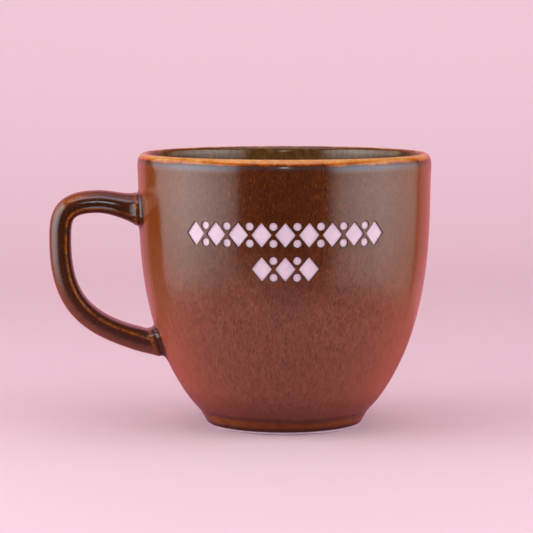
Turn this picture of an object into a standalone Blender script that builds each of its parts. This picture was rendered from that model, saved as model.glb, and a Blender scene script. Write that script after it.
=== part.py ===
"""A stoneware mug: a turned cup, a strap handle stuck on with slip, and the glaze coats over them.

Lengths are in millimetres and become metres as each mesh is made. +Z is up and the handle points
to -X. The origin is on the table, at the middle of the mug's footprint. Shapes are drawn about the
cup's own axis, and one empty carries them all to their place.
"""

import math

import bmesh
import bpy
from mathutils import Vector

MM = 0.001

# The cup. A wall is drawn by its glazed surface, as (radius, height).
RIM_RADIUS = 46.0
MUG_HEIGHT = 85.1
LIP_RADIUS = 1.5
LIP_LEVEL = MUG_HEIGHT - LIP_RADIUS
OUTER_WALL = ((RIM_RADIUS, LIP_LEVEL), (44.1, 69.7), (50.0, 29.6), (24.6, 2.2))
INNER_WALL = ((RIM_RADIUS - 2 * LIP_RADIUS, LIP_LEVEL), (39.9, 70.0), (45.2, 32.0), (23.0, 9.8))
FLOOR_LEVEL = 7.2
FLOOR = ((0.0, FLOOR_LEVEL), (10.0, FLOOR_LEVEL), (20.0, FLOOR_LEVEL), INNER_WALL[3])
FOOT_GLAZE_EDGE = (23.9, 0.64)
FOOT_RING = ((23.2, 0.3), (22.9, 0.0), (19.8, 0.0), (19.5, 0.3))
WELL_RADIUS = 18.8
WELL_DEPTH = 2.5
WELL_CORNER = 1.2
WELL_GLAZE_EDGE = 0.8

# The coats. Clay stops GAP short of the glaze, so that no two solids touch.
GLAZE = 0.4
GAP = 0.2
UNDER_GLAZE = GLAZE + GAP
UNDER_HANDLE_GLAZE = GLAZE + 0.3
RIM_BAND_START = 143
RIM_BAND_END = 0.015
COAT_GAP = 0.005
SEGMENTS = 48

# The handle's centre line, as (distance from the cup's axis, height), from the top root down.
HANDLE_CURVES = (
    ((46.4, 68.1), (50.6, 69.2), (55.0, 70.15), (58.0, 70.15)),
    ((58.0, 70.15), (69.3, 70.15), (69.7, 65.5), (69.7, 58.0)),
    ((69.7, 58.0), (69.7, 37.2), (60.5, 31.0), (40.8, 25.8)),
)
HANDLE_STEPS = (7, 8, 13)
STRAP_HALF_WIDTH = 6.3
STRAP_OUTWARD = 3.45
STRAP_INWARD = 3.4
RIDGE_OFFSET = 1.2
ROUNDING = 0.8
RING_POINTS = 20
BURIED = 5.0

# How far each root swells at the wall, (half width, outward, inward), and how fast it dies away.
UPPER_ROOT = {"swell": (5.8, 2.0, 4.8), "decay": 2.5, "wall_lean": 2.0}
LOWER_ROOT = {"swell": (1.8, 1.6, 3.6), "decay": 3.2, "wall_lean": 20.0}
SLIP_REACH = 3.2
SLIP_BED = 0.8

# The motif, left open in the glaze: rows of lozenges with discs between, (height, lozenges).
MOTIF_FACING = 5.0
MOTIF_ROWS = ((63.0, 9), (52.9, 3))
MOTIF_PITCH = 9.0
MOTIF_HALF_HEIGHT = 3.65
LOZENGE_HALF_WIDTH = 3.0
DISC_RADIUS = 1.15
DISC_SIDES = 12
CUT_DEPTH = 1.5

CUP_AXIS_X = (HANDLE_CURVES[1][3][0] + STRAP_OUTWARD - RIM_RADIUS) / 2

CLAY = ((0.80, 0.74, 0.68), 0.85)
SLIP = ((0.70, 0.62, 0.55), 0.9)
BROWN_GLAZE = ((0.16, 0.062, 0.03), 0.25)
HANDLE_BROWN = ((0.13, 0.05, 0.022), 0.2)
AMBER_GLAZE = ((0.55, 0.24, 0.05), 0.2)
LINER_GLAZE = ((0.10, 0.05, 0.022), 0.2)


def clear_scene():
    for thing in list(bpy.data.objects):
        bpy.data.objects.remove(thing, do_unlink=True)


def material(name, finish):
    colour, roughness = finish
    made = bpy.data.materials.new(name)
    made.use_nodes = True
    shader = made.node_tree.nodes["Principled BSDF"]
    shader.inputs["Base Color"].default_value = (*colour, 1.0)
    shader.inputs["Roughness"].default_value = roughness
    shader.inputs["Metallic"].default_value = 0.0
    made.diffuse_color = (*colour, 1.0)
    return made


# Outlines


def bezier(curve, t):
    """The point at t on a cubic curve."""
    weights = ((1 - t) ** 3, 3 * t * (1 - t) ** 2, 3 * t * t * (1 - t), t**3)
    return tuple(sum(w * p[axis] for w, p in zip(weights, curve)) for axis in (0, 1))


def bezier_path(curve, steps, start=0.0, end=1.0):
    return [bezier(curve, start + (end - start) * k / steps) for k in range(steps + 1)]


def arc(centre, radius, start, end, steps):
    """Points on a circle between two angles in degrees, both ends included."""
    angles = [math.radians(start + (end - start) * k / steps) for k in range(steps + 1)]
    return [(centre[0] + radius * math.cos(a), centre[1] + radius * math.sin(a)) for a in angles]


def direction(a, b):
    length = math.dist(a, b)
    return ((b[0] - a[0]) / length, (b[1] - a[1]) / length)


def offset(path, distance):
    """The path moved to the right of its run, with mitred corners. Points on the axis stay on it."""
    runs = [direction(a, b) for a, b in zip(path, path[1:])]
    moved = []
    for k, (r, z) in enumerate(path):
        before = runs[max(k - 1, 0)]
        after = runs[min(k, len(runs) - 1)]
        normal = (before[1] + after[1], -before[0] - after[0])
        scale = 2 * distance / (normal[0] ** 2 + normal[1] ** 2)
        moved.append((r + normal[0] * scale if r > 0 else 0.0, z + normal[1] * scale))
    return moved


def coat(path):
    """The outline of a glaze coat under a surface that has the clay to its right."""
    return path + offset(path, GLAZE)[::-1]


# The cup's glazed surface runs from the middle of the floor, up, over the lip and down to the foot.


def floor_path():
    return bezier_path(FLOOR, 4)


def inner_wall_path():
    return bezier_path(INNER_WALL, 10)[::-1]


def lip_path(start, end, steps):
    return arc((RIM_RADIUS - LIP_RADIUS, LIP_LEVEL), LIP_RADIUS, start, end, steps)


def outer_wall_path(start=0.0):
    return bezier_path(OUTER_WALL, 12, start) + [FOOT_GLAZE_EDGE]


def well_path():
    """From the ring's inner side, round the corner, to the middle of the well."""
    corner = (WELL_RADIUS - WELL_CORNER, WELL_DEPTH - WELL_CORNER)
    return [(WELL_RADIUS, WELL_GLAZE_EDGE)] + arc(corner, WELL_CORNER, 0, 90, 3) + [(0.0, WELL_DEPTH)]


# Meshes


def add_object(name, mesh, finish, parent):
    """The bmesh as a smooth-shaded object with its own material."""
    data = bpy.data.meshes.new(name)
    bmesh.ops.recalc_face_normals(mesh, faces=mesh.faces)
    mesh.to_mesh(data)
    mesh.free()
    data.materials.append(material(name, finish))
    data.shade_smooth()
    data.set_sharp_from_angle(angle=math.radians(35))
    made = bpy.data.objects.new(name, data)
    bpy.context.scene.collection.objects.link(made)
    made.parent = parent
    return made


def turned(name, outline, finish, parent):
    """A body of revolution: an outline that is a loop, or that starts and ends on the axis."""
    mesh = bmesh.new()
    verts = [mesh.verts.new((r * MM, 0.0, z * MM)) for r, z in outline]
    edges = [mesh.edges.new(pair) for pair in zip(verts, verts[1:])]
    if outline[0][0] > 0:
        edges.append(mesh.edges.new((verts[-1], verts[0])))
    bmesh.ops.spin(
        mesh,
        geom=verts + edges,
        cent=(0, 0, 0),
        axis=(0, 0, 1),
        angle=math.tau,
        steps=SEGMENTS,
        use_merge=True,
    )
    bmesh.ops.remove_doubles(mesh, verts=mesh.verts, dist=1e-6)
    return add_object(name, mesh, finish, parent)


def loft(name, rings, finish, parent, closed=False):
    """A skin through rings of points, capped at its ends or closed back onto its first ring."""
    mesh = bmesh.new()
    loops = [[mesh.verts.new(point * MM) for point in ring] for ring in rings]
    pairs = list(zip(loops, loops[1:]))
    if closed:
        pairs.append((loops[-1], loops[0]))
    else:
        mesh.faces.new(loops[0][::-1])
        mesh.faces.new(loops[-1])
    for near, far in pairs:
        for k in range(len(near)):
            n = (k + 1) % len(near)
            mesh.faces.new((near[k], near[n], far[n], far[k]))
    return add_object(name, mesh, finish, parent)


def cut(target, cutter):
    """Take the cutter's space out of the target."""
    cutter.hide_render = True
    cutter.display_type = "WIRE"
    boolean = target.modifiers.new("cut_" + cutter.name, "BOOLEAN")
    boolean.operation = "DIFFERENCE"
    boolean.solver = "EXACT"
    boolean.object = cutter


# The handle


def handle_stations():
    """(centre, tangent, distance from the top root, distance from the bottom root) down the strap."""
    centres = []
    for curve, steps in zip(HANDLE_CURVES, HANDLE_STEPS):
        centres += bezier_path(curve, steps)[:-1]
    centres.append(HANDLE_CURVES[-1][-1])
    runs = [direction(a, b) for a, b in zip(centres, centres[1:])]
    tangents = [runs[0]]
    tangents += [direction((0, 0), (a[0] + b[0], a[1] + b[1])) for a, b in zip(runs, runs[1:])]
    tangents.append(runs[-1])
    travelled = [0.0]
    for a, b in zip(centres, centres[1:]):
        travelled.append(travelled[-1] + math.dist(a, b))
    stations = [(c, t, s, travelled[-1] - s) for c, t, s in zip(centres, tangents, travelled)]
    return [buried(stations[0], -1)] + stations + [buried(stations[-1], 1)]


def buried(station, sense):
    """The end station pushed on into the wall."""
    (r, z), (run_r, run_z), top, bottom = station
    centre = (r + sense * BURIED * run_r, z + sense * BURIED * run_z)
    return centre, (run_r, run_z), top, bottom


def rounded(value):
    return math.copysign(abs(value) ** ROUNDING, value)


def strap_ring(station, grow):
    """A D-like section: its side ridges sit nearer the finger side, and its outer face is fuller."""
    (r, z), (run_r, run_z), top, bottom = station
    size = [STRAP_HALF_WIDTH, STRAP_OUTWARD, STRAP_INWARD]
    outward = Vector((-run_z, run_r))
    for root, distance, up in ((UPPER_ROOT, top, 1), (LOWER_ROOT, bottom, -1)):
        fade = math.exp(-distance / root["decay"])
        size = [whole + swell * fade for whole, swell in zip(size, root["swell"])]
        lean = math.radians(root["wall_lean"])
        along_wall = Vector((math.sin(lean), math.cos(lean))) * up
        outward = outward.lerp(along_wall, fade)
    outward.normalize()
    half_width, out_reach, in_reach = (whole + grow for whole in size)
    ring = []
    for k in range(RING_POINTS):
        angle = math.tau * k / RING_POINTS
        side = half_width * rounded(math.cos(angle))
        reach = out_reach + RIDGE_OFFSET if math.sin(angle) > 0 else in_reach - RIDGE_OFFSET
        rise = reach * rounded(math.sin(angle)) - RIDGE_OFFSET
        ring.append(Vector((-r - outward.x * rise, side, z + outward.y * rise)))
    return ring


def strap_rings(grow):
    return [strap_ring(station, grow) for station in handle_stations()]


def root_rings(upper, reach, grow):
    """The end of the strap from inside the wall out to reach."""
    distance = 2 if upper else 3
    near = [station for station in handle_stations() if station[distance] <= reach]
    return [strap_ring(station, grow) for station in near]


def make_cup_space(name, depth, parent):
    """A solid that fills the cup out to depth under its glazed outside, for trimming the handle."""
    wall = offset(bezier_path(OUTER_WALL, 12, 0.02), depth)
    outline = [(0.0, wall[0][1])] + wall + [(0.0, wall[-1][1])]
    return turned(name, outline, CLAY, parent)


# Sub-parts


def make_cup_body(parent):
    glazed = floor_path() + inner_wall_path()[1:] + lip_path(180, 0, 6)[1:] + outer_wall_path()[1:]
    outline = offset(glazed, UNDER_GLAZE) + list(FOOT_RING) + offset(well_path(), UNDER_GLAZE)
    return turned("cup_body", outline, CLAY, parent)


def make_liner_glaze(parent):
    path = floor_path() + inner_wall_path()[1:] + lip_path(180, RIM_BAND_START + 8, 2)[1:]
    return turned("liner_glaze", coat(path), LINER_GLAZE, parent)


def make_rim_glaze(parent):
    path = lip_path(RIM_BAND_START, 0, 5) + [bezier(OUTER_WALL, RIM_BAND_END)]
    return turned("rim_glaze", coat(path), AMBER_GLAZE, parent)


def make_outer_glaze(parent):
    outline = coat(outer_wall_path(RIM_BAND_END + COAT_GAP))
    glaze = turned("outer_glaze", outline, BROWN_GLAZE, parent)
    cut(glaze, loft("upper_root_space", root_rings(True, SLIP_REACH + BURIED, GAP), CLAY, parent))
    cut(glaze, loft("lower_root_space", root_rings(False, SLIP_REACH + BURIED, GAP), CLAY, parent))
    cut(glaze, make_motif_space(parent))
    return glaze


def make_foot_well_glaze(parent):
    return turned("foot_well_glaze", coat(well_path()), LINER_GLAZE, parent)


def make_handle(parent):
    handle = loft("handle", strap_rings(-UNDER_HANDLE_GLAZE), CLAY, parent)
    cut(handle, make_cup_space("handle_end_space", GLAZE - SLIP_BED - GAP, parent))
    return handle


def make_slip_joint(name, upper, parent):
    """The bed of slip between the strap's end and the cup, with the ring squeezed out around it."""
    joint = loft(name, root_rings(upper, SLIP_REACH, -UNDER_HANDLE_GLAZE), SLIP, parent)
    cut(joint, make_cup_space(name + "_wall_space", GLAZE, parent))
    tenon = loft(name + "_strap_space", tenon_rings(upper), CLAY, parent)
    cut(tenon, make_cup_space(name + "_bed_space", GLAZE - SLIP_BED, parent))
    cut(joint, tenon)
    return joint


def tenon_rings(upper):
    return root_rings(upper, SLIP_REACH + BURIED, GAP - UNDER_HANDLE_GLAZE)


def make_handle_glaze(parent):
    """One sleeve over the strap and its slip, from wall to wall."""
    rings = strap_rings(0.0) + strap_rings(-GLAZE)[::-1]
    glaze = loft("handle_glaze", rings, HANDLE_BROWN, parent, closed=True)
    cut(glaze, make_cup_space("handle_glaze_end_space", GLAZE, parent))
    return glaze


def add_prism(mesh, facing, level, outline):
    """An upright outline pushed through the wall, (across, up) from its middle on the glaze."""
    radius = wall_radius(level)
    angle = math.radians(-90 - facing)
    out = Vector((math.cos(angle), math.sin(angle), 0.0))
    across = Vector((-math.sin(angle), math.cos(angle), 0.0))
    ends = []
    for depth in (-CUT_DEPTH, CUT_DEPTH):
        middle = out * (radius + depth) + Vector((0.0, 0.0, level))
        points = [middle + across * u + Vector((0.0, 0.0, v)) for u, v in outline]
        ends.append([mesh.verts.new(point * MM) for point in points])
    inner, outer = ends
    mesh.faces.new(inner[::-1])
    mesh.faces.new(outer)
    for k in range(len(outline)):
        n = (k + 1) % len(outline)
        mesh.faces.new((inner[k], inner[n], outer[n], outer[k]))


def wall_radius(level):
    """The glazed outside's radius at a height, by halving."""
    low, high = 0.0, 1.0
    for _ in range(20):
        middle = (low + high) / 2
        if bezier(OUTER_WALL, middle)[1] > level:
            low = middle
        else:
            high = middle
    return bezier(OUTER_WALL, low)[0]


def lozenge():
    across, up = LOZENGE_HALF_WIDTH, MOTIF_HALF_HEIGHT
    return [(across, 0.0), (0.0, up), (-across, 0.0), (0.0, -up)]


def disc(side):
    """Touching the row's upper (1) or lower (-1) edge."""
    centre = (0.0, side * (MOTIF_HALF_HEIGHT - DISC_RADIUS))
    return arc(centre, DISC_RADIUS, 0, 360 - 360 / DISC_SIDES, DISC_SIDES - 1)


def make_motif_space(parent):
    """Rows of lozenges, with a pair of discs between each two."""
    mesh = bmesh.new()
    for level, lozenges in MOTIF_ROWS:
        for k in range(lozenges):
            turn = MOTIF_FACING + (k - (lozenges - 1) / 2) * MOTIF_PITCH
            add_prism(mesh, turn, level, lozenge())
            if k < lozenges - 1:
                add_prism(mesh, turn + MOTIF_PITCH / 2, level, disc(1))
                add_prism(mesh, turn + MOTIF_PITCH / 2, level, disc(-1))
    return add_object("motif_space", mesh, CLAY, parent)


def build():
    clear_scene()
    mug = bpy.data.objects.new("mug", None)
    bpy.context.scene.collection.objects.link(mug)
    mug.location = (CUP_AXIS_X * MM, 0.0, 0.0)
    make_cup_body(mug)
    make_handle(mug)
    make_slip_joint("upper_slip_joint", True, mug)
    make_slip_joint("lower_slip_joint", False, mug)
    make_outer_glaze(mug)
    make_rim_glaze(mug)
    make_liner_glaze(mug)
    make_foot_well_glaze(mug)
    make_handle_glaze(mug)


build()
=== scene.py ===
"""Looks for the stoneware mug: fine clay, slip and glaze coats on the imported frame, in a plain studio.

Shapes are worked out in millimetres about the cup's own axis, and placed from the frame's boxes.
"""

import math

import bpy
import numpy as np
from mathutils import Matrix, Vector
from mathutils.geometry import delaunay_2d_cdt


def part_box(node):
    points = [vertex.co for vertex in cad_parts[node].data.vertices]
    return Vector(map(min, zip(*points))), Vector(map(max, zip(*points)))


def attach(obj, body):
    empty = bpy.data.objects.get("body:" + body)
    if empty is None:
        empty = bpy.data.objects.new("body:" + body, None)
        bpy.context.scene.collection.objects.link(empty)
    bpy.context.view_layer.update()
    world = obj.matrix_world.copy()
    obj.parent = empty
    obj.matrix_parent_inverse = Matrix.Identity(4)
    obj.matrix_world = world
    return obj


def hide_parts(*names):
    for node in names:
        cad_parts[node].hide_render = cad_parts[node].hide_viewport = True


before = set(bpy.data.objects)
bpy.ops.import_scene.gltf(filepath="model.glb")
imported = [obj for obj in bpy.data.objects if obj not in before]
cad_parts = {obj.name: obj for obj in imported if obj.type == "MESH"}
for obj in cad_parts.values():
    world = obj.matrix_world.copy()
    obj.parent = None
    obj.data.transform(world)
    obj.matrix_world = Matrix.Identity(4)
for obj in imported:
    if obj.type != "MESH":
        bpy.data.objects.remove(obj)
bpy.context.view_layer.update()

MM = 0.001

# Sizes taken from the frame, in millimetres
rim_low, rim_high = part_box("rim_glaze")
CUP_X = (rim_low.x + rim_high.x) / 2 / MM
RIM_RADIUS = (rim_high.y - rim_low.y) / 2 / MM
MUG_HEIGHT = rim_high.z / MM

# The cup's glazed surface, as (radius, height)
LIP_RADIUS = 1.5
LIP_LEVEL = MUG_HEIGHT - LIP_RADIUS
OUTER_WALL = ((RIM_RADIUS, LIP_LEVEL), (44.1, 69.7), (50.0, 29.6), (24.6, 2.2))
INNER_WALL = ((42.1, 82.9), (40.9, 64.0), (45.0, 30.0), (23.0, 9.8))
FLOOR_LEVEL = 7.2
FLOOR = ((0.0, FLOOR_LEVEL), (10.0, FLOOR_LEVEL), (20.0, FLOOR_LEVEL), INNER_WALL[3])
GLAZE = 0.4
COAT = 0.38
SEAM = 0.01
LIP_TOP = 43.7
LIP_SHOULDER = 80.5
INSIDE_CURVE = (INNER_WALL[0], (42.2, MUG_HEIGHT), (LIP_TOP, MUG_HEIGHT))
BAND_EDGE = 82.9
INSIDE_EDGE = 0.45
WAIST = 0.4
WAIST_LEVEL = 5.2
WAIST_HEIGHT = 2.3
COLUMNS = 240

# The foot: the glaze's rolled edge, the bare clay ring and the glazed well
FOOT_FLARE = 12.0
FOOT_FOLD = 4.2
FOOT_END = (
    (25.7, 3.5),
    (25.3, 2.9),
    (24.98, 2.3),
    (24.68, 1.8),
    (24.48, 1.4),
    (24.32, 1.1),
    (24.12, 0.92),
    (23.85, 0.86),
)
FOOT_CLAY = (
    (24.4, 2.5),
    (24.0, 1.9),
    (23.76, 1.35),
    (23.7, 0.85),
    (23.55, 0.45),
    (23.2, 0.13),
    (22.6, 0.0),
)
FOOT_INSIDE = ((19.9, 0.0), (19.6, 0.08), (19.4, 0.35))
WELL_EDGE = (18.8, 0.8)
WELL_CORNER = (17.6, 1.3)
WELL_ROUNDING = 1.2

# The handle's centre line, as (distance from the cup's axis, height), from the top root down
HANDLE_CURVES = (
    ((46.4, 67.75), (50.6, 69.0), (55.0, 70.15), (58.0, 70.15)),
    ((58.0, 70.15), (69.3, 70.15), (69.7, 65.5), (69.7, 58.0)),
    ((69.7, 58.0), (69.7, 37.2), (60.5, 31.0), (40.9, 25.9)),
)
HANDLE_STEPS = (26, 30, 60)
STRAP_HALF_WIDTH = 6.3
STRAP_OUTWARD = 3.45
STRAP_INWARD = 3.4
SHOULDER_OFFSET = 1.2
BOXINESS = 0.72
SEAM_OFFSET = 1.75
SEAM_HEIGHT = 0.16
SEAM_WIDTH = 0.42
AMBER_WIDTH = 0.36
SECTION_POINTS = 144
UPPER_ROOT = {"swell": (2.2, 1.6, 1.65), "decay": 3.3, "lean": 1.0, "fillet": (3.2, 1.6, 4.6)}
LOWER_ROOT = {"swell": (0.6, 1.1, 1.3), "decay": 3.6, "lean": 20.4, "fillet": (2.2, 1.8, 5.0)}
FILLET_STEPS = 16
HOLLOW = 1.4
THIN_RINGS = 5
THIN_COAT = 0.06

# The motif
MOTIF_FACING = 5.0
MOTIF_ROWS = ((63.0, 9), (52.9, 3))
MOTIF_PITCH = 9.0
MOTIF_HALF_HEIGHT = 3.65
LOZENGE_HALF_WIDTH = 3.0
DISC_RADIUS = 1.15
CORNER_RADIUS = 0.25


# Curves


def bezier(curve, t):
    """Points on a cubic curve at the values t."""
    p = np.array(curve, float)
    t = np.atleast_1d(t)[:, None]
    return p[0] * (1 - t) ** 3 + p[1] * 3 * t * (1 - t) ** 2 + p[2] * 3 * t * t * (1 - t) + p[3] * t**3


def hump(value, centre, width):
    """1 at the centre, dying away smoothly over the width."""
    return np.exp(-(((value - centre) / width) ** 2))


def unit(vectors):
    """Rows scaled to a length of 1."""
    return vectors / np.linalg.norm(vectors, axis=1)[:, None]


dense_wall = bezier(OUTER_WALL, np.linspace(0, 1, 4000))[::-1]


def wall_radius(z):
    """The glazed outside's radius at a height, drawn in above the foot and rounded over the lip."""
    wall = np.interp(z, dense_wall[:, 1], dense_wall[:, 0])
    rise = np.clip((np.asarray(z, float) - LIP_SHOULDER) / (MUG_HEIGHT - LIP_SHOULDER), 0, 1)
    waist = WAIST * hump(z, WAIST_LEVEL, WAIST_HEIGHT)
    return LIP_TOP + (wall - LIP_TOP) * np.sqrt(1 - rise**2) - waist


def wall_point(angle, z, sink=0.0):
    """Points on the outside at angles in degrees from +X, sunk under the surface by a distance."""
    step = 0.02
    slope = (wall_radius(z + step) - wall_radius(z - step)) / (2 * step)
    length = np.sqrt(1 + slope**2)
    r = wall_radius(z) - sink / length
    a = np.radians(angle)
    return np.stack([r * np.cos(a), r * np.sin(a), z + sink * slope / length], -1)


def arc(centre, radius, start, end, steps):
    """Points on a circle between two angles in degrees."""
    a = np.radians(np.linspace(start, end, steps + 1))
    return np.stack([centre[0] + radius * np.cos(a), centre[1] + radius * np.sin(a)], 1)


def offset_path(path, distance):
    """A path moved to its right. Points on the axis stay there."""
    path = np.asarray(path, float)
    runs = unit(np.diff(path, axis=0))
    before = np.vstack([runs[:1], runs])
    after = np.vstack([runs, runs[-1:]])
    normal = np.stack([before[:, 1] + after[:, 1], -before[:, 0] - after[:, 0]], 1)
    moved = path + normal * (2 * distance / (normal**2).sum(1))[:, None]
    moved[path[:, 0] < 1e-6, 0] = 0.0
    return moved


# Meshes


def add_piece(name, points, faces, finish, stands_for, sharp=40):
    """A smooth-shaded piece from points in millimetres about the cup's axis, riding on the mug."""
    mesh = bpy.data.meshes.new(name)
    placed = (np.asarray(points, float) + (CUP_X, 0, 0)) * MM
    mesh.from_pydata(placed.tolist(), [], [list(map(int, f)) for f in faces])
    mesh.validate()
    mesh.materials.append(finish)
    mesh.shade_smooth()
    mesh.set_sharp_from_angle(angle=math.radians(sharp))
    piece = bpy.data.objects.new(name, mesh)
    bpy.context.scene.collection.objects.link(piece)
    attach(piece, "root")
    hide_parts(stands_for)
    return piece


def add_attribute(piece, name, values):
    attribute = piece.data.attributes.new(name, "FLOAT", "POINT")
    attribute.data.foreach_set("value", np.asarray(values, np.float32))


def point_normals(points, faces):
    """Area-weighted normals of a triangle and quad mesh."""
    normals = np.zeros_like(points)
    for size in (3, 4):
        some = np.array([f for f in faces if len(f) == size])
        if not len(some):
            continue
        a, b, c, d = (points[some[:, k % size]] for k in (0, 1, 2, 3))
        n = np.cross(b - a, c - a) if size == 3 else np.cross(c - a, d - b)
        for k in range(size):
            np.add.at(normals, some[:, k], n)
    return unit(normals)


def thickened(points, faces, depth):
    """A closed shell: the sheet, its copy sunk by depth, and walls along its open edges."""
    points = np.asarray(points, float)
    depth = np.broadcast_to(np.asarray(depth, float), (len(points),))
    inner = points - point_normals(points, faces) * depth[:, None]
    count = len(points)
    edges = {(int(a), int(b)) for f in faces for a, b in zip(f, list(f[1:]) + [f[0]])}
    walls = [(b, a, a + count, b + count) for a, b in edges if (b, a) not in edges]
    under = [[v + count for v in f[::-1]] for f in faces]
    return np.vstack([points, inner]), [list(f) for f in faces] + under + walls


def turned_sheet(path, columns=COLUMNS):
    """An open surface of revolution. The path runs so that the clay is on its right."""
    path = np.asarray(path, float)
    angles = np.arange(columns) * math.tau / columns
    points, rows = [], []
    for r, z in path:
        if r < 1e-6:
            rows.append([len(points)] * columns)
            points.append((0.0, 0.0, z))
        else:
            rows.append(list(range(len(points), len(points) + columns)))
            points += [(r * math.cos(a), r * math.sin(a), z) for a in angles]
    faces = []
    for low, high in zip(rows, rows[1:]):
        for k in range(columns):
            n = (k + 1) % columns
            faces.append(list(dict.fromkeys([low[k], high[k], high[n], low[n]])))
    return np.array(points), faces


def lofted(rings, first_cap=False, last_cap=False):
    """Faces through rings of points. A cap fans in to the ring's middle."""
    count = len(rings[0])
    points = np.vstack(rings)
    faces = []
    for j in range(len(rings) - 1):
        for k in range(count):
            n = (k + 1) % count
            a, b = j * count, (j + 1) * count
            faces.append([a + k, b + k, b + n, a + n])
    if first_cap:
        faces += [[k, (k + 1) % count, len(points)] for k in range(count)]
        points = np.vstack([points, rings[0].mean(0)])
    if last_cap:
        start = (len(rings) - 1) * count
        faces += [[start + (k + 1) % count, start + k, len(points)] for k in range(count)]
        points = np.vstack([points, rings[-1].mean(0)])
    return points, faces


# The cup's paths, from the middle of the floor, up the inside, over the lip and down the outside


def liner_path():
    floor = bezier(FLOOR, np.linspace(0, 1, 24))
    wall = bezier(INNER_WALL, np.linspace(1, 0, 80))
    return np.vstack([floor, wall[1:], inner_lip(0, INSIDE_EDGE, 10)[1:]])


def inner_lip(start, end, steps):
    """Part of the lip's inner rounding, which runs from the inner wall at 0 to the lip's top at 1."""
    t = np.linspace(start, end, steps + 1)[:, None]
    a, b, c = np.array(INSIDE_CURVE)
    return a * (1 - t) ** 2 + b * 2 * t * (1 - t) + c * t * t


def rim_path():
    turn = math.asin((BAND_EDGE + SEAM - LIP_SHOULDER) / (MUG_HEIGHT - LIP_SHOULDER))
    z = LIP_SHOULDER + (MUG_HEIGHT - LIP_SHOULDER) * np.sin(np.linspace(math.pi / 2, turn, 28))
    return np.vstack([inner_lip(INSIDE_EDGE, 1, 14), np.stack([wall_radius(z), z], 1)[1:]])


def outer_rows():
    """Heights of the outer sheet's rows down to the fold above the foot."""
    lip = np.linspace(BAND_EDGE, LIP_SHOULDER + 0.1, 14)
    wall = np.linspace(LIP_SHOULDER + 0.1, FOOT_FLARE, 76)
    foot = np.linspace(FOOT_FLARE, FOOT_FOLD, 14)
    return np.concatenate([lip[:-1], wall[:-1], foot])


# Openings in the glaze, as outlines in (across, up) millimetres on the unrolled wall


def rounded_outline(corners, grow, steps=7):
    """A convex polygon with rounded corners, grown outwards."""
    corners = np.array(corners, float)
    points = []
    for k in range(len(corners)):
        a = corners[k - 1] - corners[k]
        b = corners[(k + 1) % len(corners)] - corners[k]
        a /= np.linalg.norm(a)
        b /= np.linalg.norm(b)
        half = math.acos(float(a @ b)) / 2
        inward = (a + b) / np.linalg.norm(a + b)
        middle = corners[k] + inward * CORNER_RADIUS / math.sin(half)
        start = math.atan2(a[0], -a[1])
        end = math.atan2(-b[0], b[1])
        while end < start:
            end += math.tau
        turn = np.linspace(start, end, steps)
        points.append(middle + (CORNER_RADIUS + grow) * np.stack([np.cos(turn), np.sin(turn)], 1))
    return np.vstack(points)


def subdivided(loop, spacing=0.45):
    """The loop with points added along its long edges."""
    out = []
    for a, b in zip(loop, np.roll(loop, -1, axis=0)):
        count = max(1, int(round(np.linalg.norm(b - a) / spacing)))
        out.append(a + (b - a) * (np.arange(count) / count)[:, None])
    return np.vstack(out)


def lozenge(grow):
    across, up = LOZENGE_HALF_WIDTH, MOTIF_HALF_HEIGHT
    return subdivided(rounded_outline([(across, 0), (0, up), (-across, 0), (0, -up)], grow))


def disc(grow):
    return arc((0, 0), DISC_RADIUS + grow, 0, 350, 35)


def motif_shapes():
    """(angle, height, outline function) of each opening."""
    shapes = []
    for level, lozenges in MOTIF_ROWS:
        for k in range(lozenges):
            angle = -90 - MOTIF_FACING + (k - (lozenges - 1) / 2) * MOTIF_PITCH
            shapes.append((angle, level, lozenge))
            for side in (1, -1) if k < lozenges - 1 else ():
                middle = level + side * (MOTIF_HALF_HEIGHT - DISC_RADIUS)
                shapes.append((angle + MOTIF_PITCH / 2, middle, disc))
    return shapes


# How far the glaze sinks towards an opening's edge, as (distance from the edge, sink)
EDGE_LOOPS = ((0.40, 0.0), (0.28, -0.012), (0.17, 0.0), (0.08, 0.05), (0.02, 0.13), (0.0, 0.2))
# Points of the plain grid stay this far from an opening, and count as this far from one
CLEAR_OF_GRID = 0.68
FAR = 9.0
# Millimetres across the unrolled wall for each degree
UNROLLED = math.radians(1) * 45.0
# The part of the wall that holds the openings, as degrees either way from the motif's middle and heights
BLOCK_REACH = 43.0
BLOCK_TOP = 70.0
BLOCK_BOTTOM = 46.0


def inside(spots, loop):
    """Which points lie in a polygon, by crossings."""
    x, y = spots[:, :1], spots[:, 1:]
    a, b = loop, np.roll(loop, -1, axis=0)
    cross = (a[:, 1] > y) != (b[:, 1] > y)
    rise = np.where(a[:, 1] == b[:, 1], 1.0, b[:, 1] - a[:, 1])
    at = a[:, 0] + (y - a[:, 1]) * (b[:, 0] - a[:, 0]) / rise
    return ((at > x) & cross).sum(1) % 2 == 1


def inside_any(spots, loops):
    """Which points lie in any of the polygons."""
    found = np.zeros(len(spots), bool)
    for loop in loops:
        low, high = loop.min(0), loop.max(0)
        near = np.flatnonzero(((spots >= low) & (spots <= high)).all(1))
        if len(near):
            found[near] |= inside(spots[near], loop)
    return found


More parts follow.
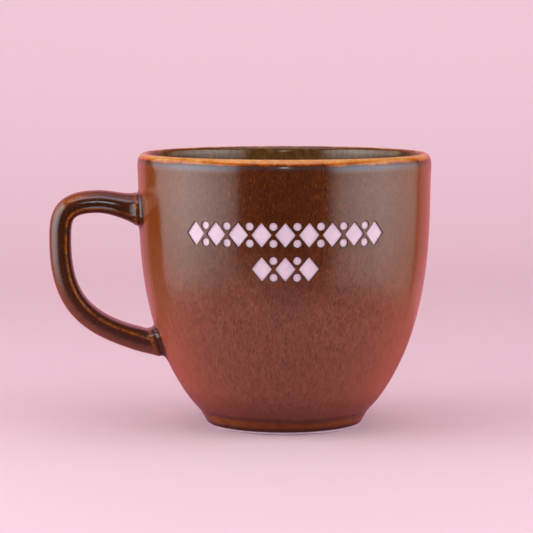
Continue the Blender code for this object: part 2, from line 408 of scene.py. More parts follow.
def opening_block(columns, rows, shapes):
    """The part of the outer sheet that holds openings, triangulated round them.

    columns are angles in degrees and rows are heights. Returns points, faces and each point's
    distance from the nearest opening.
    """
    flat, edges, sinks, near = [], [], [], []
    for angle, level, outline in shapes:
        for grow, sink in EDGE_LOOPS:
            loop = outline(grow) + (angle * UNROLLED, level)
            first = sum(len(f) for f in flat)
            flat.append(loop)
            sinks.append(np.full(len(loop), sink))
            near.append(np.full(len(loop), grow))
            edges += [(first + k, first + (k + 1) % len(loop)) for k in range(len(loop))]
    holes = [outline(0.0) + (angle * UNROLLED, level) for angle, level, outline in shapes]
    cleared = [outline(CLEAR_OF_GRID) + (angle * UNROLLED, level) for angle, level, outline in shapes]
    grid = np.array([(angle * UNROLLED, z) for angle in columns for z in rows])
    border = (grid == grid.min(0)).any(1) | (grid == grid.max(0)).any(1)
    grid = grid[border | ~inside_any(grid, cleared)]
    flat.append(grid)
    sinks.append(np.zeros(len(grid)))
    near.append(np.full(len(grid), FAR))
    flat, sinks, near = np.vstack(flat), np.concatenate(sinks), np.concatenate(near)
    result = delaunay_2d_cdt([Vector(p) for p in flat.tolist()], edges, [], 0, 1e-5)
    source = np.array([ids[0] for ids in result[3]])
    spots = flat[source]
    faces = np.array([list(f) for f in result[2]])
    faces = faces[~inside_any(spots[faces].mean(1), holes)]
    used, faces = np.unique(faces, return_inverse=True)
    spots, source = spots[used], source[used]
    points = wall_point(spots[:, 0] / UNROLLED, spots[:, 1], sinks[source])
    return points, faces.reshape(-1, 3).tolist(), near[source]


def welded(points, faces, values):
    """Coincident points made one, and unused ones dropped."""
    keys = np.round(points / 1e-4).astype(np.int64)
    _, first, index = np.unique(keys, axis=0, return_index=True, return_inverse=True)
    index = index.reshape(-1)
    kept = points[first]
    out = []
    for f in faces:
        g = list(dict.fromkeys(int(index[v]) for v in f))
        if len(g) > 2:
            out.append(g)
    used = sorted({v for f in out for v in f})
    again = {v: k for k, v in enumerate(used)}
    return kept[used], [[again[v] for v in f] for f in out], values[first][used]


def outer_sheet():
    """The outside from the amber band to the foot, with the motif's openings."""
    rows = outer_rows()
    step = 360.0 / COLUMNS
    columns = np.arange(COLUMNS) * step - 360.0
    left = math.floor((-90 - MOTIF_FACING - BLOCK_REACH) / step) * step
    right = math.ceil((-90 - MOTIF_FACING + BLOCK_REACH) / step) * step
    top = int(np.argmin(abs(rows - BLOCK_TOP)))
    bottom = int(np.argmin(abs(rows - BLOCK_BOTTOM)))
    block_columns = np.arange(round((right - left) / step) + 1) * step + left
    points, faces, distance = opening_block(block_columns, rows[top : bottom + 1], motif_shapes())
    count = len(points)
    path = [(float(wall_radius(z)), z) for z in rows] + list(FOOT_END)
    a = np.radians(columns)
    grid = np.vstack([np.stack([r * np.cos(a), r * np.sin(a), np.full(COLUMNS, z)], 1) for r, z in path])
    first, last = (int(round((edge + 360) / step)) for edge in (left, right))
    for j in range(len(path) - 1):
        for i in range(COLUMNS):
            if top <= j < bottom and first <= i < last:
                continue
            n = (i + 1) % COLUMNS
            low, high = count + j * COLUMNS, count + (j + 1) * COLUMNS
            faces.append([low + n, low + i, high + i, high + n])
    distance = np.concatenate([distance, np.full(len(grid), FAR)])
    return welded(np.vstack([points, grid]), faces, distance)


# The handle


def strap_frame():
    """Centres, tangents and distances from the two roots along the strap."""
    parts = [bezier(c, np.linspace(0, 1, n + 1))[:-1] for c, n in zip(HANDLE_CURVES, HANDLE_STEPS)]
    centres = np.vstack(parts + [np.array([HANDLE_CURVES[-1][-1]])])
    runs = np.diff(centres, axis=0)
    travelled = np.concatenate([[0], np.cumsum(np.linalg.norm(runs, axis=1))])
    runs = unit(runs)
    tangents = unit(np.vstack([runs[:1], runs[:-1] + runs[1:], runs[-1:]]))
    return centres, tangents, travelled, travelled[-1] - travelled


def section(half_width, out_reach, in_reach):
    """(side, rise) round the strap: boxy, with a raised seam near the finger side of each edge."""
    a = np.linspace(0, math.tau, 4001)
    c, s = np.cos(a), np.sin(a)
    reach = np.where(s > 0, out_reach + SHOULDER_OFFSET, in_reach - SHOULDER_OFFSET)
    rise = reach * np.sign(s) * abs(s) ** BOXINESS - SHOULDER_OFFSET
    seam = SEAM_HEIGHT * hump(rise, -SEAM_OFFSET, SEAM_WIDTH) * (abs(c) >= 0.3)
    side = np.sign(c) * (half_width * abs(c) ** BOXINESS + seam)
    lengths = np.hypot(np.diff(side), np.diff(rise))
    weights = 1 + 2.5 * hump(rise[1:], -SEAM_OFFSET, 0.9) * (abs(c[1:]) > 0.3)
    travelled = np.concatenate([[0], np.cumsum(lengths * weights)])
    at = np.arange(SECTION_POINTS) * travelled[-1] / SECTION_POINTS
    return np.interp(at, travelled, side), np.interp(at, travelled, rise)


def strap_rings():
    """Rings of points from root to root, how thin the glaze is at each point, and how dark it is from
    pooling and painted shade.
    """
    centres, tangents, top, bottom = strap_frame()
    rings, thin, pool_and_shade = [], [], []
    for (r, z), (run_r, run_z), up, down in zip(centres, tangents, top, bottom):
        size = np.array([STRAP_HALF_WIDTH, STRAP_OUTWARD, STRAP_INWARD])
        outward = np.array((-run_z, run_r))
        ridge = 0.0
        for root, distance, sense in ((UPPER_ROOT, up, 1), (LOWER_ROOT, down, -1)):
            size = size + np.array(root["swell"]) * math.exp(-distance / root["decay"])
            lean = math.radians(root["lean"])
            along = np.array((math.sin(lean), math.cos(lean))) * sense
            blend = math.exp(-((distance / 4.5) ** 2))
            outward = outward * (1 - blend) + along * blend
            ridge = max(ridge, math.exp(-((distance / 0.6) ** 2)))
        outward = outward / np.linalg.norm(outward)
        side, rise = section(*size)
        rings.append(np.stack([-(r + outward[0] * rise), side, z + outward[1] * rise], 1))
        seam = hump(rise, -SEAM_OFFSET, AMBER_WIDTH) * (abs(side) > 0.7 * size[0])
        seam = seam * (0.35 + 0.65 * (1 - math.exp(-((up / 16) ** 4))))
        corner = hump(rise, 2.3, 0.7) * hump(up, 19.0, 4.0)
        thin.append(np.clip(seam + corner + 0.7 * ridge, 0, 1))
        # Pooled glaze with painted shade: dark from the shoulder down the strap's sides
        pool_and_shade.append(np.clip((1.3 - rise) / 0.9, 0, 1) * (abs(side) > 0.6 * size[0]))
    return rings, thin, pool_and_shade


def onto_wall(points, direction, sink):
    """Each point moved along a direction in the handle's plane until it meets the cup's wall."""
    low = np.zeros(len(points))
    high = np.full(len(points), 12.0)
    step = np.array((-direction[0], 0.0, direction[1]))
    for _ in range(30):
        middle = (low + high) / 2
        p = points + step * middle[:, None]
        outside = np.hypot(p[:, 0], p[:, 1]) > wall_radius(p[:, 2]) - sink
        low = np.where(outside, middle, low)
        high = np.where(outside, high, middle)
    return points + step * low[:, None]


def fillet_rings(ridge, centre, root):
    """Rings from a root's ridge down its slip to the cup, tangent to the wall where they end."""
    lean = math.radians(root["lean"])
    to_wall = (-math.cos(lean), math.sin(lean))
    along = np.array((-math.sin(lean), 0.0, math.cos(lean)))
    middle = np.array((-centre[0], 0.0, centre[1]))
    arm = ridge - middle
    side, up = arm[:, 1], arm @ along
    angle = np.arctan2(up, side)
    reach_side, reach_up, reach_down = root["fillet"]
    vertical = np.where(up > 0, reach_up, reach_down)
    reach = np.sqrt((reach_side * np.cos(angle)) ** 2 + (vertical * np.sin(angle)) ** 2)
    out = up[:, None] * along
    out[:, 1] = side
    out = unit(out)
    foot = onto_wall(ridge + out * reach[:, None], to_wall, 0.03)
    heel = onto_wall(ridge - out * 0.35, to_wall, 0.0)
    rings = []
    for t in np.linspace(0, 1, FILLET_STEPS + 1)[1:]:
        weights = np.array(((1 - t) ** 2, 2 * HOLLOW * t * (1 - t), t * t))
        weights /= weights.sum()
        rings.append(ridge * weights[0] + heel * weights[1] + foot * weights[2])
    return rings


def rounded_ridge(before, ridge, after):
    """Rings that round off a root's ridge."""
    return [before * (1 - t) ** 2 + ridge * 2 * t * (1 - t) + after * t * t for t in (0.2, 0.4, 0.6, 0.8)]


def handle_rings():
    """The glazed handle from the cup, through the strap, to the cup, with thin glaze, and dark pooled
    glaze with painted shade.
    """
    strap, thin, pool_and_shade = strap_rings()
    centres = strap_frame()[0]
    upper = fillet_rings(strap[0], centres[0], UPPER_ROOT)
    lower = fillet_rings(strap[-1], centres[-1], LOWER_ROOT)
    top = upper[:0:-1] + rounded_ridge(strap[1], strap[0], upper[1])[::-1]
    end = rounded_ridge(strap[-2], strap[-1], lower[1]) + lower[1:]
    ridge = np.ones(SECTION_POINTS)
    fade = [ridge * t for t in (0.7, 0.7, 0.5, 0.3)] + [ridge * 0.0] * (FILLET_STEPS - 1)
    thin = fade[::-1] + thin[1:-1] + fade
    # The slip joints dark with pooled glaze and painted shade in their hollows
    sink = [ridge * 0.3] * 4 + [ridge * min(1.0, k / 4) for k in range(FILLET_STEPS - 2, -1, -1)]
    pool_and_shade = sink[::-1] + pool_and_shade[1:-1] + sink
    return top + strap[1:-1] + end, np.concatenate(thin), np.concatenate(pool_and_shade)


# Materials


class Graph:
    """Short names for building nodes."""

    def __init__(self, tree):
        self.tree = tree

    def node(self, kind, **settings):
        made = self.tree.nodes.new(kind)
        for key, value in settings.items():
            setattr(made, key, value)
        return made

    def feed(self, socket, value):
        if hasattr(value, "is_output"):
            self.tree.links.new(value, socket)
        elif isinstance(value, tuple) and len(value) == 3 and socket.type == "RGBA":
            socket.default_value = (*value, 1.0)
        else:
            socket.default_value = value

    def math(self, operation, *values, clamp=False):
        made = self.node("ShaderNodeMath", operation=operation, use_clamp=clamp)
        for socket, value in zip(made.inputs, values):
            self.feed(socket, value)
        return made.outputs[0]

    def times(self, a, b):
        return self.math("MULTIPLY", a, b)

    def plus(self, a, b):
        return self.math("ADD", a, b)

    def position(self, scale=(1, 1, 1)):
        """The point in millimetres about the cup's axis, stretched."""
        moved = self.node("ShaderNodeVectorMath", operation="SUBTRACT")
        self.feed(moved.inputs[0], self.node("ShaderNodeNewGeometry").outputs["Position"])
        moved.inputs[1].default_value = (CUP_X * MM, 0, 0)
        scaled = self.node("ShaderNodeVectorMath", operation="MULTIPLY")
        self.feed(scaled.inputs[0], moved.outputs[0])
        scaled.inputs[1].default_value = tuple(s / MM for s in scale)
        return scaled.outputs[0]

    def noise(self, scale, stretch=(1, 1, 1), detail=2.0, roughness=0.5, at=None):
        """Noise about 0, mostly within 0.2 either way, with scale features per millimetre."""
        made = self.node("ShaderNodeTexNoise")
        self.feed(made.inputs["Vector"], at or self.position(stretch))
        made.inputs["Scale"].default_value = scale
        made.inputs["Detail"].default_value = detail
        made.inputs["Roughness"].default_value = roughness
        return self.math("SUBTRACT", made.outputs["Fac"], 0.5)

    def ramp(self, value, stops):
        made = self.node("ShaderNodeValToRGB")
        self.feed(made.inputs[0], value)
        elements = made.color_ramp.elements
        while len(elements) < len(stops):
            elements.new(0.5)
        for element, (at, colour) in zip(elements, stops):
            element.position = at
            element.color = (*colour, 1.0)
        return made.outputs[0]

    def step(self, low, high, value):
        """0 at low, 1 at high, smooth between."""
        made = self.node("ShaderNodeMapRange", interpolation_type="SMOOTHSTEP")
        rising = low < high
        numbers = (low, high, 0.0, 1.0) if rising else (high, low, 1.0, 0.0)
        self.feed(made.inputs["Value"], value)
        for key, number in zip(("From Min", "From Max", "To Min", "To Max"), numbers):
            made.inputs[key].default_value = number
        return made.outputs["Result"]

    def mix(self, amount, a, b, blend="MIX"):
        made = self.node("ShaderNodeMix", data_type="RGBA", blend_type=blend)
        self.feed(made.inputs["Factor"], amount)
        self.feed(made.inputs[6], a)
        self.feed(made.inputs[7], b)
        return made.outputs[2]

    def scaled(self, colour, factor):
        """A colour times a number."""
        made = self.node("ShaderNodeVectorMath", operation="SCALE")
        self.feed(made.inputs[0], colour)
        self.feed(made.inputs["Scale"], factor)
        return made.outputs[0]

    def attribute(self, name):
        return self.node("ShaderNodeAttribute", attribute_name=name).outputs["Fac"]

    def bump(self, height, strength, distance):
        made = self.node("ShaderNodeBump")
        made.inputs["Strength"].default_value = strength
        made.inputs["Distance"].default_value = distance
        self.feed(made.inputs["Height"], height)
        return made.outputs[0]

    def separate(self, vector):
        made = self.node("ShaderNodeSeparateXYZ")
        self.feed(made.inputs[0], vector)
        return made.outputs[:3]

    def height(self):
        return self.separate(self.position())[2]

    def distance(self, x, y):
        """How far a point is from the cup's axis."""
        return self.math("SQRT", self.plus(self.times(x, x), self.times(y, y)))


class Finish(Graph):
    """A material's nodes."""

    def __init__(self, name):
        self.material = bpy.data.materials.new(name)
        self.material.use_nodes = True
        self.shader = self.material.node_tree.nodes["Principled BSDF"]
        super().__init__(self.material.node_tree)


# Colours, as linear red, green and blue
BROWN = (0.062, 0.0145, 0.003)
RUST = (0.118, 0.0425, 0.027)
SOOT = (0.022, 0.009, 0.006)
FLECK = (0.22, 0.056, 0.013)
# Painted rim light: the colour the glaze is given where it is seen at a slant, above and low down
PAINTED_RIM_LIGHT = (0.30, 0.069, 0.010)
PAINTED_LOW_RIM_LIGHT = (0.47, 0.103, 0.046)
# Painted reflection: the grey haze under the lip's band, standing in for the softboxes seen in the glaze
PAINTED_REFLECTION_HAZE = (0.05, 0.035, 0.035)
SPECK = (0.09, 0.03, 0.05)
# The lip's amber, dark at the band's ragged edge and pale at the top, from thinner glaze and a painted
# highlight
LIP_AMBER_AND_HIGHLIGHT = (
    (0.0, (0.12, 0.018, 0.0005)),
    (0.2, (0.36, 0.072, 0.0005)),
    (0.45, (0.45, 0.135, 0.003)),
    (0.7, (0.54, 0.21, 0.025)),
    (1.0, (0.64, 0.31, 0.10)),
)
RIDGE_AMBER = ((0.35, (0.18, 0.032, 0.0005)), (0.65, (0.38, 0.105, 0.004)))
LINER_BROWN = ((0.35, (0.085, 0.036, 0.009)), (0.55, (0.13, 0.055, 0.013)), (0.75, (0.19, 0.075, 0.018)))
# Painted shade: the glaze darker towards the foot
FOOT_SHADE = (0.075, 0.024, 0.014)
FOOT_LINE = (0.045, 0.014, 0.010)
FOOT_AMBER = (0.15, 0.032, 0.004)
# Painted side light: the foot band's colour towards the sides
FOOT_AMBER_SIDE_LIT = (0.20, 0.052, 0.004)
FOOT_EDGE = (0.045, 0.014, 0.004)
# Darker round the openings: thicker glaze at the cut edge, with painted shade where it drops into the
# recess
OPENING_EDGE_AND_SHADE = (0.022, 0.011, 0.009)
# Pooled glaze and painted shade on the handle
POOLED_AND_SHADED = (0.034, 0.010, 0.004)
HANDLE_FLECK = (0.20, 0.05, 0.006)
CLAY = (0.66, 0.54, 0.63)
HANDLE_CLAY = (0.62, 0.54, 0.50)
SLIP = (0.52, 0.44, 0.38)
WHITE = (1.0, 1.0, 1.0)
BLUISH = (0.62, 0.80, 1.0)
PALE_BLUE = (0.78, 0.90, 1.0)

# The radius at which the streaks have their true width
MIDDLE_RADIUS = 40.0


def round_the_cup(g, along):
    """Coordinates that keep the same across the wall's slope, so that streaks run down it."""
    x, y, z = g.separate(g.position())
    radius = g.distance(x, y)
    joined = g.node("ShaderNodeCombineXYZ")
    for socket, value in zip(joined.inputs, (x, y)):
        g.feed(socket, g.times(g.math("DIVIDE", value, radius), MIDDLE_RADIUS))
    g.feed(joined.inputs[2], g.times(z, along))
    return joined.outputs[0]


def glaze_colour(g, streaked=True):
    """Brown above and redder below, with fine streaks and flecks that are strongest above."""
    z = g.height()
    level = g.plus(z, g.times(g.noise(0.06, detail=2.0), 26.0))
    base = g.mix(g.step(66.0, 36.0, level), BROWN, RUST)
    fine, coarse = (round_the_cup(g, 0.30), round_the_cup(g, 0.5)) if streaked else (None, None)
    streak = g.noise(2.7, detail=3.0, roughness=0.6, at=fine)
    mottle = g.noise(0.8, detail=2.0, at=coarse)
    high = g.step(25.0, 60.0, z)
    strength = g.plus(g.times(high, 0.4), 1.35)
    shade = g.plus(g.plus(g.times(streak, strength), g.times(mottle, 0.7)), 1.0)
    colour = g.scaled(base, g.math("MAXIMUM", shade, 0.35))
    sooty = g.step(0.06, 0.20, g.noise(1.7, detail=3.0, at=fine))
    colour = g.mix(g.times(sooty, 0.35), colour, SOOT)
    fleck = g.step(0.09, 0.20, g.noise(2.3, detail=2.0, at=fine))
    return g.mix(g.times(fleck, g.plus(g.times(high, 0.16), 0.18)), colour, FLECK)


def with_painted_light(g, colour):
    """Painted light: the glaze made lighter away from the front, and redder and lighter still where it is
    seen at a slant, most of all low down, standing in for the side softboxes and the pink table's light
    and reflection.
    """
    facing = g.node("ShaderNodeLayerWeight").outputs["Facing"]
    # Painted side light: lighter everywhere but straight in front
    lighter = g.plus(g.times(g.step(0.0, 0.08, facing), 0.4), 1.0)
    glow = g.mix(g.step(52.0, 22.0, g.height()), PAINTED_RIM_LIGHT, PAINTED_LOW_RIM_LIGHT)
    return g.mix(g.step(0.05, 1.35, facing), g.scaled(colour, lighter), glow)


def finish_glaze(g, colour, roughness):
    """Gloss with a faint ripple."""
    g.feed(g.shader.inputs["Base Color"], colour)
    grain = g.noise(1.4, (1, 1, 0.4), detail=3.0)
    g.feed(g.shader.inputs["Roughness"], g.plus(g.times(grain, 0.15), roughness))
    ripple = g.noise(0.6, (1, 1, 0.5), detail=3.0, roughness=0.6)
    g.feed(g.shader.inputs["Normal"], g.bump(ripple, 0.4, 0.00005))
    return g.material


def lip_colour(g, colour):
    """The amber band over the lip, paler at the top from thinner glaze and a painted highlight, which
    darkens to a ragged edge, and a thin grey painted reflection below it.
    """
    x, y, z = g.separate(g.position())
    radius = g.distance(x, y)
    ragged = g.noise(1.1, detail=3.0, roughness=0.6)
    slow = g.noise(0.14, detail=2.0)
    level = g.plus(z, g.plus(g.times(ragged, 0.9), g.times(slow, 1.1)))
    outer = g.step(43.7, 44.0, radius)
    inner = g.math("SUBTRACT", 1.0, outer)
    # Painted reflection: a thin grey haze just under the band, for the softboxes seen in the glaze
    colour = g.mix(g.times(g.times(g.step(81.4, 83.0, level), outer), 0.6), colour, PAINTED_REFLECTION_HAZE)
    colour = g.mix(g.times(g.times(g.step(82.9, 83.3, level), outer), 0.7), colour, SOOT)
    # Paler towards the top of the lip: thinner glaze, with a painted highlight
    tone = g.plus(g.times(g.noise(0.5, detail=2.0), 0.6), g.step(83.1, 85.3, level))
    amber = g.ramp(tone, LIP_AMBER_AND_HIGHLIGHT)
    outside = g.times(g.step(83.1, 83.4, level), outer)
    inside = g.times(g.times(g.step(84.75, 85.1, level), inner), 0.7)
    specks = g.step(0.20, 0.25, g.noise(1.3, detail=1.0))
    amber = g.mix(g.times(specks, 0.7), amber, SPECK)
    return g.mix(g.math("ADD", outside, inside, clamp=True), colour, amber)


def foot_colour(g, colour):
    """The glaze darkened towards the foot as painted shade, and the thin amber-brown band above the foot,
    between two dark lines, lighter to the sides as painted side light.
    """
    x, _, z = g.separate(g.position())
    level = g.plus(z, g.times(g.noise(0.11, detail=3.0), 2.2))
    # Painted shade: darker towards the foot
    colour = g.mix(g.times(g.step(15.0, 5.0, level), 0.6), colour, FOOT_SHADE)
    colour = g.mix(g.times(g.step(5.8, 5.1, level), 0.45), colour, FOOT_LINE)
    band = g.times(g.step(4.4, 3.7, level), g.step(1.9, 2.4, z))
    # Painted side light: the band lighter towards the sides
    amber = g.mix(g.step(6.0, 20.0, g.math("ABSOLUTE", x)), FOOT_AMBER, FOOT_AMBER_SIDE_LIT)
    amber = g.scaled(amber, g.plus(g.times(g.noise(0.4, detail=3.0), 1.2), 1.0))
    colour = g.mix(g.times(band, 0.8), colour, amber)
    return g.mix(g.times(g.step(2.4, 1.8, z), 0.7), colour, FOOT_EDGE)


def outer_glaze_finish():
    """Streaked brown with painted rim light, darker round the openings from thicker glaze and painted
    shade, and glossier and bluer just under the lip.
    """
    g = Finish("brown_glaze")
    colour = lip_colour(g, foot_colour(g, with_painted_light(g, glaze_colour(g))))
    # Thicker glaze and painted shade round the openings
    edge = g.step(0.38, 0.1, g.attribute("opening"))
    colour = g.mix(g.times(edge, 0.55), colour, OPENING_EDGE_AND_SHADE)
    z = g.height()
    halo = g.step(80.8, 82.4, z)
    sheen = g.plus(g.times(halo, 0.35), g.times(g.step(3.0, 14.0, z), 0.15))
    g.feed(g.shader.inputs["Specular IOR Level"], g.plus(sheen, 0.35))
    g.feed(g.shader.inputs["Specular Tint"], g.mix(halo, WHITE, BLUISH))
    return finish_glaze(g, colour, 0.16)


def rim_glaze_finish():
    g = Finish("amber_glaze")
    return finish_glaze(g, lip_colour(g, with_painted_light(g, glaze_colour(g))), 0.12)


def liner_glaze_finish():
    g = Finish("liner_glaze")
    tone = g.plus(g.noise(0.8, (1, 1, 0.5), detail=3.0), 0.5)
    return finish_glaze(g, lip_colour(g, g.ramp(tone, LINER_BROWN)), 0.16)


def well_glaze_finish():
    g = Finish("well_glaze")
    return finish_glaze(g, glaze_colour(g), 0.2)


def handle_glaze_finish():
    """Brown with painted rim light on the outer face, nearly black where the glaze pools and where shade
    is painted on the strap's sides and in the joints, and amber on the ridges.
    """
    g = Finish("handle_glaze")
    colour = g.scaled(with_painted_light(g, glaze_colour(g, streaked=False)), 0.72)
    # Nearly black where glaze pools and shade is painted
    colour = g.mix(g.times(g.attribute("pool_and_shade"), 0.8), colour, POOLED_AND_SHADED)
    flecks = g.step(0.05, 0.16, g.noise(1.6, detail=2.0))
    colour = g.mix(g.times(flecks, 0.25), colour, HANDLE_FLECK)
    amount = g.times(g.attribute("thin"), g.step(-0.20, -0.04, g.noise(0.3, detail=3.0)))
    tone = g.plus(g.noise(0.9, detail=2.0), 0.5)
    g.feed(g.shader.inputs["Specular IOR Level"], 0.58)
    g.feed(g.shader.inputs["Specular Tint"], PALE_BLUE)
    return finish_glaze(g, g.mix(amount, colour, g.ramp(tone, RIDGE_AMBER)), 0.16)


def clay_finish(name, colour):
    """Matte fired clay with a fine grain and a few dark specks."""
    g = Finish(name)
    grain = g.noise(3.0, detail=4.0, roughness=0.7)
    blotch = g.noise(0.25, detail=2.0)
    shade = g.plus(g.plus(g.times(grain, 0.5), g.times(blotch, 0.3)), 1.0)
    tone = g.scaled(colour, shade)
    specks = g.step(0.22, 0.26, g.noise(2.2, detail=1.0))
    dark = tuple(c * 0.45 for c in colour)
    g.feed(g.shader.inputs["Base Color"], g.mix(g.times(specks, 0.4), tone, dark))
    g.shader.inputs["Roughness"].default_value = 0.85
    g.feed(g.shader.inputs["Normal"], g.bump(grain, 0.5, 0.00008))
    return g.material


# Pieces


def make_cup():
    """The clay cup, under the glaze on the inside, the lip and the outside, and bare at the foot."""
    liner, rim, rows = liner_path(), rim_path(), outer_rows()
    glazed = np.vstack([liner, rim[1:], np.stack([wall_radius(rows), rows], 1)[1:]])
    roof = WELL_CORNER[1] + WELL_ROUNDING + GLAZE
    well = np.vstack([arc(WELL_CORNER, WELL_ROUNDING + GLAZE, 10, 90, 6), [(0.0, roof)]])
    path = np.vstack([offset_path(glazed[::2], GLAZE), FOOT_CLAY, FOOT_INSIDE, well])
    points, faces = turned_sheet(path)
    add_piece("cup_clay", points, faces, clay_finish("bare_clay", CLAY), "cup_body")


def make_coats():
    """The turned glaze coats: the liner, the band over the lip and the well under the foot."""
    roof = WELL_CORNER[1] + WELL_ROUNDING
    well = np.vstack([[WELL_EDGE], arc(WELL_CORNER, WELL_ROUNDING, 0, 90, 6), [(0.0, roof)]])
    coats = (
        ("liner_coat", liner_path(), liner_glaze_finish(), "liner_glaze", "liner_glaze"),
        ("rim_coat", rim_path(), rim_glaze_finish(), "rim_glaze", "amber_glaze"),
        ("well_coat", well, well_glaze_finish(), "foot_well_glaze", "liner_glaze"),
    )
    for name, path, finish, node, slot in coats:
        points, faces = thickened(*turned_sheet(path), COAT)
        add_piece(name, points, faces, finish, node)


def make_outer():
    """The outside's brown coat, open over the motif."""
    points, faces, distance = outer_sheet()
    points, faces = thickened(points, faces, COAT)
    piece = add_piece("outer_coat", points, faces, outer_glaze_finish(), "outer_glaze")
    add_attribute(piece, "opening", np.concatenate([distance, distance]))


def make_handle():
    """The handle's coat, which thins to almost nothing where it meets the cup's."""
    rings, thin, pool_and_shade = handle_rings()
    points, faces = lofted(rings)
    depth = np.full(len(points), COAT)
    ends = SECTION_POINTS * THIN_RINGS
    depth[:ends] = depth[-ends:] = THIN_COAT
    points, faces = thickened(points, faces, depth)
    finish = handle_glaze_finish()
    piece = add_piece("handle_coat", points, faces, finish, "handle_glaze")
    add_attribute(piece, "thin", np.concatenate([thin, thin]))
    add_attribute(piece, "pool_and_shade", np.concatenate([pool_and_shade, pool_and_shade]))


def make_handle_clay():
    """The clay strap and the two beds of slip, kept just under the glaze."""
    rings, _, _ = handle_rings()
    points, faces = lofted(rings)
    inner = (points - point_normals(points, faces) * GLAZE).reshape(len(rings), SECTION_POINTS, 3)
    bed = FILLET_STEPS + 1
    clay = clay_finish("handle_clay", HANDLE_CLAY)
    slip = clay_finish("slip", SLIP)
    pieces = (
        ("handle_clay", inner[bed + 2 : -bed - 2], clay, "handle", "handle_clay"),
        ("upper_slip", inner[THIN_RINGS : bed + 2], slip, "upper_slip_joint", "slip"),
        ("lower_slip", inner[-bed - 2 : -THIN_RINGS], slip, "lower_slip_joint", "slip"),
    )
    for name, part, finish, node, slot in pieces:
        points, faces = lofted(list(part), first_cap=True, last_cap=True)
        add_piece(name, points, faces, finish, node)


# Studio

AZIMUTH = -5.0
DISTANCE = 720.0
CAMERA_RIGHT = -5.54
CAMERA_HEIGHT = 120.4
PITCH = 0.098275
FOCAL = 156.16
PAPER = (0.80, 0.58, 0.66)
SWEEP_START = 500.0
SWEEP_RADIUS = 700.0
FLOOR_HALF = 300.0

# What the glaze reflects: the table, and the surround in front, behind, above and above behind
REFLECTED_PINK = (0.76, 0.31, 0.42)
DARK_FRONT = (0.025, 0.016, 0.016)
PINK_BEHIND = (0.74, 0.26, 0.34)
GREY_ABOVE = (3.6, 3.4, 3.9)
PINK_ABOVE = (1.4, 0.7, 0.8)
PALE_FILL = (0.98, 0.92, 0.94)

# The two upright softboxes, with their brightness as (distance behind the cup's axis, level)
PANEL_ACROSS = 400.0
PANEL_LOW = -160.0
PANEL_HIGH = 430.0
PANEL_POWER = 4.2
LEFT_SLANT = 0.6
LEFT_GLOW = (
    (-570, 0.25),
    (-445, 0.58),
    (-295, 0.80),
    (-175, 0.98),
    (-65, 1.0),
    (55, 0.60),
    (160, 0.36),
)
RIGHT_GLOW = (
    (-600, 0.20),
    (-435, 0.62),
    (-240, 0.82),
    (-85, 0.84),
    (30, 0.52),
    (130, 0.34),
    (225, 0.20),
    (260, 0.02),
)

# The small light above the camera
FRONT_LIGHT_BACK = -760.0
FRONT_LIGHT_HEIGHT = 330.0
FRONT_LIGHT_TILT = 18.0
FRONT_LIGHT_SIZE = (0.07, 0.05)
FRONT_LIGHT_POWER = 0.24


def studio_point(right, back, up):
    """A point given to the camera's right, away from the camera and up from the cup's foot."""
    a = math.radians(AZIMUTH)
    x = right * math.cos(a) - back * math.sin(a)
    y = right * math.sin(a) + back * math.cos(a)
    return Vector(((CUP_X + x) * MM, y * MM, up * MM))


def away(g, vector, aside=0.0):
    """How far a vector runs away from the camera, with a little of its run along +X added."""
    a = math.radians(AZIMUTH)
    made = g.node("ShaderNodeVectorMath", operation="DOT_PRODUCT")
    g.feed(made.inputs[0], vector)
    made.inputs[1].default_value = (-math.sin(a) + aside, math.cos(a), 0)
    return made.outputs["Value"]


def make_camera():
    data = bpy.data.cameras.new("camera")
    data.lens = FOCAL
    data.sensor_width = 36.0
    data.clip_start = 0.01
    camera = bpy.data.objects.new("camera", data)
    bpy.context.scene.collection.objects.link(camera)
    camera.location = studio_point(CAMERA_RIGHT, -DISTANCE, CAMERA_HEIGHT)
    camera.rotation_euler = (math.pi / 2 - PITCH, 0, math.radians(AZIMUTH))
    bpy.context.scene.camera = camera


def stage_mesh(name, points, faces, finish):
    """A mesh of the studio, which isn't part of the mug."""
    mesh = bpy.data.meshes.new(name)
    mesh.from_pydata([tuple(p) for p in points], [], faces)
    mesh.materials.append(finish)
    mesh.shade_smooth()
    made = bpy.data.objects.new(name, mesh)
    bpy.context.scene.collection.objects.link(made)
    return made


def make_sweep():
    """A pale paper sweep: flat under the mug, curving up behind it, and not seen in the glaze."""
    g = Finish("pale_paper")
    g.shader.inputs["Base Color"].default_value = (*PAPER, 1)
    g.shader.inputs["Roughness"].default_value = 0.95
    g.shader.inputs["Specular IOR Level"].default_value = 0.1
    g.shader.inputs["Emission Color"].default_value = (*PAPER, 1)
    x, y, _ = g.separate(g.position())
    g.feed(g.shader.inputs["Emission Strength"], g.times(g.step(80.0, 1100.0, g.distance(x, y)), 0.42))
    side = 5000.0
    bend = arc((SWEEP_START, SWEEP_RADIUS), SWEEP_RADIUS, -85, 0, 17)
    path = [(-4000.0, 0.0), (0.0, 0.0), (SWEEP_START, 0.0), *bend, (SWEEP_START + SWEEP_RADIUS, 3500.0)]
    points = [studio_point(end, back, up) for back, up in path for end in (-side, side)]
    faces = [[2 * k, 2 * k + 1, 2 * k + 3, 2 * k + 2] for k in range(len(path) - 1)]
    sweep = stage_mesh("paper_sweep", points, faces, g.material)
    sweep.visible_glossy = False


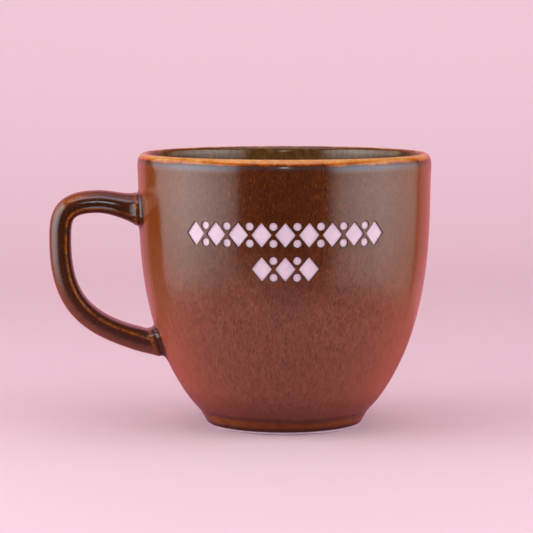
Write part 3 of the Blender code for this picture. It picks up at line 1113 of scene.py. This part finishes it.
def make_reflected_floor():
    """The patch of table that the glaze reflects, which fades out away from the mug."""
    g = Finish("reflected_paper")
    g.shader.inputs["Base Color"].default_value = (*REFLECTED_PINK, 1)
    g.shader.inputs["Roughness"].default_value = 0.95
    g.shader.inputs["Specular IOR Level"].default_value = 0.0
    x, y, _ = g.separate(g.position())
    g.feed(g.shader.inputs["Alpha"], g.step(215.0, 125.0, g.distance(x, y)))
    low, high = -FLOOR_HALF, FLOOR_HALF
    corners = [studio_point(*c, -0.4) for c in ((low, low), (high, low), (high, high), (low, high))]
    floor = stage_mesh("reflected_floor", corners, [[0, 1, 2, 3]], g.material)
    floor.visible_camera = False
    floor.visible_diffuse = False
    floor.visible_shadow = False
    floor.visible_transmission = False


def make_panel(name, side, glow, slant=0.0):
    """An upright softbox beside the mug, whose far edge can lean back towards its top."""
    g = Finish(name)
    g.tree.nodes.remove(g.shader)
    near, far = glow[0][0], glow[-1][0]
    along = g.math("DIVIDE", g.math("SUBTRACT", away(g, g.position()), near), far - near)
    shade = g.ramp(along, [((at - near) / (far - near), (level,) * 3) for at, level in glow])
    rise = g.plus(g.times(g.step(-110.0, 85.0, g.height()), 0.7), 0.3)
    light = g.node("ShaderNodeEmission")
    g.feed(light.inputs["Color"], shade)
    g.feed(light.inputs["Strength"], g.times(rise, PANEL_POWER))
    g.tree.links.new(light.outputs[0], g.tree.nodes["Material Output"].inputs["Surface"])
    across = side * PANEL_ACROSS
    far_low, far_high = far + slant * PANEL_LOW, far + slant * PANEL_HIGH
    outline = ((near, PANEL_LOW), (far_low, PANEL_LOW), (far_high, PANEL_HIGH), (near, PANEL_HIGH))
    corners = [studio_point(across, *c) for c in outline]
    panel = stage_mesh(name, corners, [[0, 1, 2, 3]], g.material)
    panel.visible_camera = False


def make_front_light():
    """A small softbox above the camera, for the thin light just under the lip."""
    data = bpy.data.lights.new("front_light", "AREA")
    data.shape = "RECTANGLE"
    data.size, data.size_y = FRONT_LIGHT_SIZE
    data.energy = FRONT_LIGHT_POWER
    light = bpy.data.objects.new("front_light", data)
    bpy.context.scene.collection.objects.link(light)
    light.location = studio_point(0, FRONT_LIGHT_BACK, FRONT_LIGHT_HEIGHT)
    light.rotation_euler = (math.radians(90 - FRONT_LIGHT_TILT), 0, math.radians(AZIMUTH))


def make_world():
    """Pale light all round, but pink behind, dark in front and grey above in the glaze's reflections."""
    world = bpy.data.worlds.new("studio")
    world.use_nodes = True
    bpy.context.scene.world = world
    g = Graph(world.node_tree)
    fill = g.tree.nodes["Background"]
    fill.inputs["Color"].default_value = (*PALE_FILL, 1)
    fill.inputs["Strength"].default_value = 0.55
    way = g.node("ShaderNodeTexCoord").outputs["Generated"]
    behind = away(g, way, aside=0.06)
    seen = g.mix(g.step(0.66, 0.77, behind), DARK_FRONT, PINK_BEHIND)
    above = g.mix(g.step(-0.45, 0.1, behind), GREY_ABOVE, PINK_ABOVE)
    seen = g.mix(g.step(0.74, 0.92, g.separate(way)[2]), seen, above)
    mirror = g.node("ShaderNodeBackground")
    g.feed(mirror.inputs["Color"], seen)
    choose = g.node("ShaderNodeMixShader")
    g.feed(choose.inputs[0], g.node("ShaderNodeLightPath").outputs["Is Glossy Ray"])
    g.feed(choose.inputs[1], fill.outputs[0])
    g.feed(choose.inputs[2], mirror.outputs[0])
    g.feed(g.tree.nodes["World Output"].inputs["Surface"], choose.outputs[0])


def make_studio():
    make_camera()
    make_world()
    make_sweep()
    make_reflected_floor()
    make_panel("softbox_left", -1, LEFT_GLOW, LEFT_SLANT)
    make_panel("softbox_right", 1, RIGHT_GLOW)
    make_front_light()
    bpy.context.scene.view_settings.view_transform = "Standard"


make_cup()
make_coats()
make_outer()
make_handle()
make_handle_clay()
make_studio()
